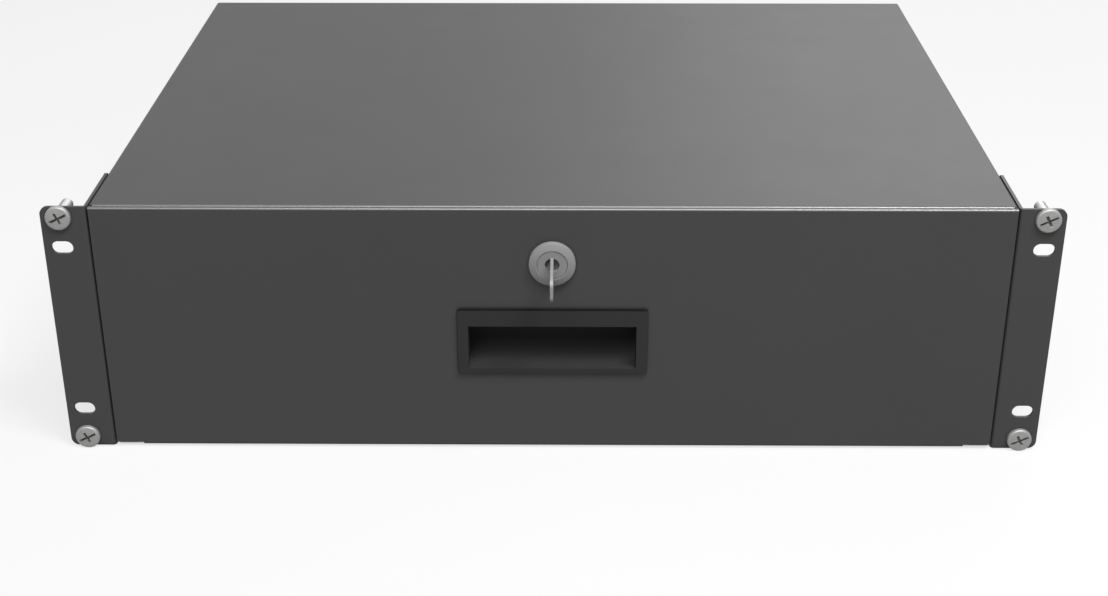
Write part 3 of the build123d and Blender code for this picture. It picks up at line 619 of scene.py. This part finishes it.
# %% Small screws
M4 = 2.0 * MM
M4_PITCH = 0.7 * MM
SMALL_HEAD = 2.2 * MM
SMALL_HEAD_RADIUS = 3.9 * MM
SMALL_DRIVE = (4.4 * MM, 4.4 * MM, 0.9 * MM)
SMALL_DRIVE_DEPTH = 1.2 * MM
BRACKET_LENGTH = 6.7 * MM
DRAWER_LENGTH = 3.2 * MM
CAM_LENGTH = 4.0 * MM
CAM_HEAD_RADIUS = 5.2 * MM


def small_screw(head_radius, length):
    """An M4 pan screw with a plain cross."""
    return pan_screw(
        head_radius, SMALL_HEAD, M4, length, M4_PITCH, SMALL_DRIVE, SMALL_DRIVE_DEPTH
    )


def on_both_walls(points, x, places, way):
    """Copies at each (y, z) on both walls, pointing outwards if way is 1, inwards if it is -1."""
    right = stand(points, [(x, y, z) for y, z in places], BACK, (way, 0, 0))
    left = stand(points, [(-x, y, z) for y, z in places], BACK, (-way, 0, 0))
    return np.concatenate([right, left])


def box_places(node, inset_y, inset_z, count=2):
    """Places (y, z) in a node's box: count of them along y, at its top and bottom, set in."""
    low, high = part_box(node)
    heights = sorted({round(z, 7) for z in (low.z + inset_z, high.z - inset_z)})
    along = np.linspace(low.y + inset_y, high.y - inset_y, count)
    return [(y, z) for y in along for z in heights]


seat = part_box("bracket_screws")[1].x - SMALL_HEAD
places = box_places("bracket_screws", SMALL_HEAD_RADIUS, SMALL_HEAD_RADIUS)
copies = on_both_walls(small_screw(SMALL_HEAD_RADIUS, BRACKET_LENGTH), seat, places, 1)
make_piece("bracket_screw_set", copies, "housing", "bracket_screws", screw_zinc, pit=DRIVE)

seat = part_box("drawer_screws")[1].x - DRAWER_LENGTH
places = box_places("drawer_screws", SMALL_HEAD_RADIUS, SMALL_HEAD_RADIUS, 3)
copies = on_both_walls(small_screw(SMALL_HEAD_RADIUS, DRAWER_LENGTH), seat, places, -1)
make_piece("drawer_screw_set", copies, "drawer", "drawer_screws", screw_zinc, pit=DRIVE)

spots = [(0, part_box("cam_screw")[1].y - SMALL_HEAD, lock_z)]
copies = stand(small_screw(CAM_HEAD_RADIUS, CAM_LENGTH), spots, RIGHT, BACK)
make_piece("cam_screw_turned", copies, "lock_core", "cam_screw", screw_zinc, pit=DRIVE)

# %% [markdown]
# A nut is cut from hexagon bar, and its corners are then chamfered on a lathe, which leaves the
# curved edge that every nut has. In a stack of curves that costs nothing: the hexagon is a radius
# that changes with the angle, and its height drops wherever that radius passes the chamfer's
# circle. The last curve joins the first, through the bore.

# %% Nuts
NUT_FLATS = 7.0 * MM
NUT_HEIGHT = 3.2 * MM
NUT_BORE = 2.1 * MM
NUT_LIP = 0.25 * MM
NUT_FACE = 0.48  # part of the width across flats
NUT_CHAMFER = math.radians(30)
LOCK_NUT_BORE = 9.65 * MM


def hex_curve(turn, flats, first_corner):
    """Radius of a hexagon: r = (flats / 2) / cos u, u the angle from the nearest side's middle."""
    from_side = (turn - first_corner) % (np.pi / 3) - np.pi / 6
    return flats / 2 / np.cos(from_side)


def nut(flats, height, bore, first_corner):
    """A chamfered nut on z = 0, from the bore over the lower face, the sides and the upper face."""
    turn = angles(72)
    side = hex_curve(turn, flats, first_corner)
    face, lip = NUT_FACE * flats, bore + NUT_LIP
    drop = (side - face) * math.tan(NUT_CHAMFER)
    lower = [(bore, NUT_LIP), (lip, 0), (face, 0), (side, drop)]
    upper = [(side, height - drop), (face, height), (lip, height), (bore, height - NUT_LIP)]
    return stack(turn, lower + upper)


small_nut = nut(NUT_FLATS, NUT_HEIGHT, NUT_BORE, math.pi / 6)
corner = NUT_FLATS / math.sqrt(3)

places = box_places("bracket_nuts", NUT_FLATS / 2, corner)
copies = on_both_walls(small_nut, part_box("bracket_nuts")[1].x, places, -1)
make_piece("bracket_nut_set", copies, "housing", "bracket_nuts", screw_zinc, ring=True)

places = box_places("rail_nuts", NUT_FLATS / 2, corner, 3)
copies = on_both_walls(small_nut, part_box("rail_nuts")[1].x - NUT_HEIGHT, places, 1)
make_piece("rail_nut_set", copies, "housing", "rail_nuts", screw_zinc, ring=True)

low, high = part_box("lock_nut")
lock_nut = nut(high.z - low.z, high.y - low.y, LOCK_NUT_BORE, 0)
copies = stand(lock_nut, [(0, high.y, lock_z)], RIGHT, FORWARD)
make_piece("lock_nut_turned", copies, "drawer", "lock_nut", screw_zinc, ring=True)

# %% [markdown]
# The rear panel is held by blind rivets. Such a rivet is a tube with a nail through it: the nail is
# pulled until the tail swells behind the sheet, then snaps, and a small round well stays in the
# middle of the dome. The dome is part of a sphere.

# %% Rear rivets
RIVET_HEAD = 1.2 * MM
RIVET_HEAD_RADIUS = 3.2 * MM
RIVET_SHANK = 1.6 * MM
RIVET_WELL = 0.9 * MM
RIVET_WELL_DEPTH = 0.7 * MM
RIVET_RIM, RIVET_RIM_DROP = 0.1 * MM, 0.05 * MM
RIVET_GRIP = 2.4 * MM
RIVET_TAIL = 1.5 * MM
RIVET_TAIL_RADIUS = 2.0 * MM
RIVET_TAIL_BEVEL = 0.5 * MM
RIVET_STEP = 20.0 * MM


def rivet():
    """A blind rivet on z = 0; its dome is h = sqrt(D^2 - r^2) - D + head, D the sphere's radius."""
    sphere = (RIVET_HEAD_RADIUS**2 + RIVET_HEAD**2) / (2 * RIVET_HEAD)
    reach = np.linspace(RIVET_WELL + RIVET_RIM, RIVET_HEAD_RADIUS, 9)
    dome = np.sqrt(sphere**2 - reach**2) - (sphere - RIVET_HEAD)
    well = dome[0] - RIVET_WELL_DEPTH
    foot = -RIVET_GRIP - RIVET_TAIL
    curves = [(0, well), (RIVET_WELL, well), (RIVET_WELL, dome[0] - RIVET_RIM_DROP)]
    curves += [*zip(reach, dome), (RIVET_SHANK, 0), (RIVET_SHANK, -RIVET_GRIP)]
    curves += [(RIVET_TAIL_RADIUS, -RIVET_GRIP), (RIVET_TAIL_RADIUS, foot + RIVET_TAIL_BEVEL)]
    curves += [(RIVET_TAIL_RADIUS - RIVET_TAIL_BEVEL, foot), (0, foot)]
    return stack(angles(48), curves)


low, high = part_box("rear_rivets")
top = high.z - RIVET_HEAD_RADIUS
middle_y = (low.y + high.y) / 2
places = [(middle_y, z) for z in (top, top - RIVET_STEP, RIVET_STEP - top, -top)]
copies = on_both_walls(rivet(), high.x - RIVET_HEAD, places, 1)
make_piece("rear_rivet_set", copies, "housing", "rear_rivets", screw_zinc)

# %% [markdown]
# The slides run on hardened steel balls, ground and tumbled to a mirror. A ball is the simplest
# stack of circles: the radius is a sine and the height a cosine of the same angle. Each row of
# balls is spaced by its cage, and the cage rolls along at the mean speed of the two rails it runs
# between, so the balls ride on the cages' bodies.

# %% Balls of the slides
BALL_RADIUS = 1.75 * MM
BALLS_PER_ROW = 5
slope = np.linspace(0, np.pi, 17)
ball = stack(angles(32), list(zip(BALL_RADIUS * np.sin(slope), BALL_RADIUS * np.cos(slope))))
for circuit in ("outer", "inner"):
    node = circuit + "_balls"
    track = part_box(node)[1].x - BALL_RADIUS
    places = box_places(node, BALL_RADIUS, BALL_RADIUS, BALLS_PER_ROW)
    copies = on_both_walls(ball, track, places, 1)
    make_piece(circuit + "_ball_set", copies, circuit + "_cages", node, polished_steel)

# %% [markdown]
# The lock is the piece that catches the eye: a die-cast ring with a bevel, then a threaded barrel
# with two flats that keep it from turning in the face. Its profile is a closed line whose corners
# are rounded by small curves, since no cast or plated edge is truly sharp. The flats are a limit on
# the radius, flat / |cos t|, so thread and flats share one grid.

# %% Lock body
BARREL = 9.5 * MM
BARREL_FLAT = 8.0 * MM
BARREL_BEVEL = 0.6 * MM
BORE = 5.7 * MM
PROUD = 3.5 * MM
RING_SIDE = 2.7 * MM
BEVEL_RADIUS = 7.95 * MM
SEAT = 2.0 * MM
SEAT_RADIUS = 7.3 * MM
LOCK_EDGE = 0.18 * MM
LOCK_PITCH, LOCK_THREAD = 1.0 * MM, 0.5 * MM
THREAD_TOP, THREAD_END = -0.4 * MM, 0.5 * MM


def soften(profile, size, steps=4):
    """Rounds each corner C by (1-t)^2 A + 2t(1-t) C + t^2 B, with A and B at size from C."""
    line = np.array(profile, float)
    corner = line[1:-1]
    back, ahead = line[:-2] - corner, line[2:] - corner
    a = corner + size * back / np.linalg.norm(back, axis=1, keepdims=True)
    b = corner + size * ahead / np.linalg.norm(ahead, axis=1, keepdims=True)
    t = np.linspace(0, 1, steps)[None, :, None]
    bends = (1 - t) ** 2 * a[:, None] + 2 * t * (1 - t) * corner[:, None] + t**2 * b[:, None]
    return np.concatenate([line[:1], bends.reshape(-1, 2), line[-1:]])


face_y = lock_low.y + PROUD
barrel_end = face_y - lock_high.y
ring_radius = (lock_high.x - lock_low.x) / 2
turn = angles(144, math.acos(BARREL_FLAT / BARREL))
flats = box_curve(turn, BARREL_FLAT, FAR)
ring = [(BARREL, 0), (ring_radius, 0), (ring_radius, RING_SIDE), (BEVEL_RADIUS, PROUD)]
inside = [(SEAT_RADIUS, PROUD), (SEAT_RADIUS, SEAT), (BORE, SEAT), (BORE, barrel_end)]
front = soften(ring + inside + [(BARREL - BARREL_BEVEL, barrel_end)], LOCK_EDGE)
barrel = thread_curves(
    turn, BARREL, THREAD_TOP, barrel_end + THREAD_END, LOCK_PITCH, LOCK_THREAD
)
curves = [(np.minimum(r, flats), h) if h < 0 else (r, h) for r, h in front]
curves += [(np.minimum(r, flats), h) for r, h in reversed(barrel)]
lock_spot = [(0, face_y, lock_z)]
copies = stand(stack(turn, curves), lock_spot, RIGHT, FORWARD)
make_piece("lock_body_turned", copies, "drawer", "lock_body", lock_nickel, ring=True)

# %% [markdown]
# The plug turns inside the ring. Its front has a round keyhole, and at the bottom of that the
# upright keyway; behind, it ends in a square for the cam and a screw hole. From front to back that
# is one more stack: the keyway's rectangle opens into a circle, the circle steps out over the head,
# and the far end narrows to a square.

# %% Lock plug
KEYWAY = (0.8 * MM, 3.2 * MM)
KEYWAY_BACK = 4.8 * MM
KEYWAY_RIM = 0.2 * MM
KEYWAY_BEVEL = 0.3  # part of the plug's edge
KEYHOLE = 3.45 * MM
KEYHOLE_FLOOR = 0.3 * MM
PLUG_HEAD_RADIUS = 7.2 * MM
PLUG_RADIUS = 5.6 * MM
PLUG_EDGE = 0.15 * MM
SQUARE = 3.5 * MM
SQUARE_LENGTH = 2.0 * MM
CAM_HOLE = 2.1 * MM
CAM_HOLE_DEPTH = 4.1 * MM
plug_low, plug_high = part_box("lock_plug")
head_top = face_y - plug_low.y
end = face_y - plug_high.y
shoulder = end + SQUARE_LENGTH
keyway_end = shoulder + KEYWAY_BACK
hole_end = end + CAM_HOLE_DEPTH
turn = angles(96, math.atan2(KEYWAY[1], KEYWAY[0]), math.pi / 4)
keyway = box_curve(turn, *KEYWAY)
square = box_curve(turn, SQUARE, SQUARE)
curves = [
    (0, keyway_end),
    (keyway, keyway_end),
    (keyway, KEYWAY_RIM),
    (keyway + PLUG_EDGE * KEYWAY_BEVEL, KEYHOLE_FLOOR),
    (KEYHOLE, KEYHOLE_FLOOR),
    (KEYHOLE, head_top - PLUG_EDGE),
    (KEYHOLE + PLUG_EDGE, head_top),
    (PLUG_HEAD_RADIUS - PLUG_EDGE, head_top),
    (PLUG_HEAD_RADIUS, head_top - PLUG_EDGE),
    (PLUG_HEAD_RADIUS, SEAT),
    (PLUG_RADIUS, SEAT),
    (PLUG_RADIUS, shoulder),
    (square, shoulder),
    (square, end),
    (CAM_HOLE, end),
    (CAM_HOLE, hole_end),
    (0, hole_end),
]
copies = stand(stack(turn, curves), lock_spot, RIGHT, FORWARD)
make_piece("lock_plug_turned", copies, "lock_core", "lock_plug", lock_nickel)

# %% [markdown]
# Light, floor and camera come last. The photograph has a white surround, like a shop picture. A
# white world would do, but it would also light the drawer from every side and wash it out. So the
# surround is white only for the camera and for mirror-like rays, and weaker as a source of light:
# the white comes from its colour and not from more light.

# %% White surround
AMBIENT = 0.18
WHITE = (1, 1, 1, 1)


def seen_by_eye(tree):
    """1 for rays from the camera, mirrors and glass, 0 for rays that only carry light."""
    path = tree.nodes.new("ShaderNodeLightPath").outputs
    seen = maths(tree, "MAXIMUM", path["Is Camera Ray"], path["Is Glossy Ray"])
    return maths(tree, "MAXIMUM", seen, path["Is Transmission Ray"])


world = bpy.data.worlds.new("studio")
bpy.context.scene.world = world
world.use_nodes = True
tree = world.node_tree
background = tree.nodes["Background"]
background.inputs["Color"].default_value = WHITE
wire(tree, background, Strength=fade(tree, seen_by_eye(tree), 0, 1, low=AMBIENT))
print("the surround lights the drawer at", AMBIENT, "of its white")

# %% [markdown]
# The lamps are soft, as in a studio: each is a rectangle that glows evenly, because a small hard
# lamp would draw spots on the satin coat. A wide one high in front on the right lights top and
# face. A small near one is mirrored in the rounded fold and draws the bright line along it. One in
# front, left of the middle, reaches down into the pull, and one behind on the right brightens that
# end of the top.

# %% Lamps


def soft_lamp(name, power, size, location, target):
    """A rectangular area lamp of the given width and height that faces a target."""
    data = bpy.data.lights.new(name, "AREA")
    data.shape = "RECTANGLE"
    data.energy = power
    data.size, data.size_y = size
    lamp = bpy.data.objects.new(name, data)
    bpy.context.scene.collection.objects.link(lamp)
    lamp.location = location
    lamp.rotation_euler = (Vector(target) - Vector(location)).to_track_quat("-Z", "Y").to_euler()
    lamp.visible_camera = False
    print(name, "lamp of", power, "W")


middle = (0, 0.1, 0)
fold = (0.15, 0, 0)
soft_lamp("front_top", 42.0, size=(1.8, 0.7), location=(0.5, -1.0, 2.1), target=middle)
soft_lamp("fold_light", 10.5, size=(0.5, 0.2), location=(0.45, -0.42, 1.2), target=fold)
soft_lamp("front_fill", 23.0, size=(1.0, 1.0), location=(-0.35, -1.3, 1.8), target=middle)
soft_lamp("right_back", 9.8, size=(1.2, 1.0), location=(0.68, 1.6, 1.13), target=middle)

# %% [markdown]
# The floor is a wide sheet of matt paper under the drawer. White paper would throw much light back
# up at the drawer, so the paper itself is grey, keeps the drawer's soft shadow, and is lifted to
# white by a glow that only the camera and mirror-like rays see. The housing is open below, and no
# light gets under it, so there the floor doesn't glow: a step in the distance from the housing's
# middle marks the place. A faint cloudiness keeps the paper from being one flat colour.

# %% Floor
FLOOR_RADIUS = 12.0
FLOOR_CORNERS = 96
PAPER_DARK = (0.15, 0.15, 0.15)
PAPER_LIGHT = (0.17, 0.17, 0.17)
PAPER_CLOUDS = 3
PAPER_ROUGHNESS = 0.9
PAPER_GLOW = 0.72
WALL = 2 * MM


def beyond_housing(tree, place):
    """0 on the floor under the housing, 1 beyond its walls: a step in |x| or |y| from its middle."""
    low, high = [np.array(corner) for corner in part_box("housing_cover")]
    centred = add(tree, "Mapping", Vector=place, Location=tuple(-(low + high) / 2))
    sides = add(tree, "SeparateXYZ", Vector=centred.outputs["Vector"]).outputs
    away = [maths(tree, "ABSOLUTE", sides[side]) for side in "XY"]
    steps = [fade(tree, a, half - WALL, half) for a, half in zip(away, (high - low) / 2)]
    return maths(tree, "MAXIMUM", *steps)


bpy.ops.mesh.primitive_circle_add(
    vertices=FLOOR_CORNERS, radius=FLOOR_RADIUS, fill_type="NGON", location=(0, 0, cad_low.z)
)
floor = bpy.context.object
floor.name = "floor"
paper, tree, shader, place = new_finish("floor_paper")
shader.inputs["Roughness"].default_value = PAPER_ROUGHNESS
shader.inputs["Specular IOR Level"].default_value = 0.0
shader.inputs["Emission Color"].default_value = WHITE
lit = fade(tree, beyond_housing(tree, place), 0, 1, high=PAPER_GLOW)
wire(
    tree,
    shader,
    Base_Color=tint(tree, speckle(tree, place, PAPER_CLOUDS), PAPER_DARK, PAPER_LIGHT),
    Emission_Strength=fade(tree, seen_by_eye(tree), 0, 1, high=lit),
)
wear(floor, paper)
floor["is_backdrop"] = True
print("floor at z =", round(cad_low.z / MM, 2), "mm")

# %% [markdown]
# The camera stands where the photographer's stood. Its place, its turn and its focal length were
# found by matching the corners of the housing, ears, screws and pull with the photograph, so the
# render can be laid over it. The photograph is cut unevenly about the lens's axis, which the two
# shifts repeat.

# %% Camera
PHOTO = (1108, 596)
FOCAL_PX = 1648.1
PRINCIPAL_PX = (555.1, 200.0)
SENSOR = 36.0
CAMERA_PLACE = (7.8 * MM, -702.5 * MM, 388.7 * MM)
CAMERA_TURN = (65.548, 0.065, 0.492)
camera_data = bpy.data.cameras.new("camera")
camera_data.sensor_width = SENSOR
camera_data.lens = FOCAL_PX / PHOTO[0] * SENSOR
camera_data.shift_x = (PHOTO[0] / 2 - PRINCIPAL_PX[0]) / PHOTO[0]
camera_data.shift_y = (PRINCIPAL_PX[1] - PHOTO[1] / 2) / PHOTO[0]
camera = bpy.data.objects.new("camera", camera_data)
bpy.context.scene.collection.objects.link(camera)
camera.location = CAMERA_PLACE
camera.rotation_euler = [math.radians(a) for a in CAMERA_TURN]
bpy.context.scene.camera = camera
bpy.context.scene.view_settings.view_transform = "Standard"
print("camera lens of", round(camera_data.lens, 1), "mm")

# %% [markdown]
# The remade pieces must stay inside the CAD drawer's box, so both boxes are printed.

# %% Sizes
low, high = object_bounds()
print("visual box in mm:", [round((b - a) / MM, 1) for a, b in zip(low, high)])
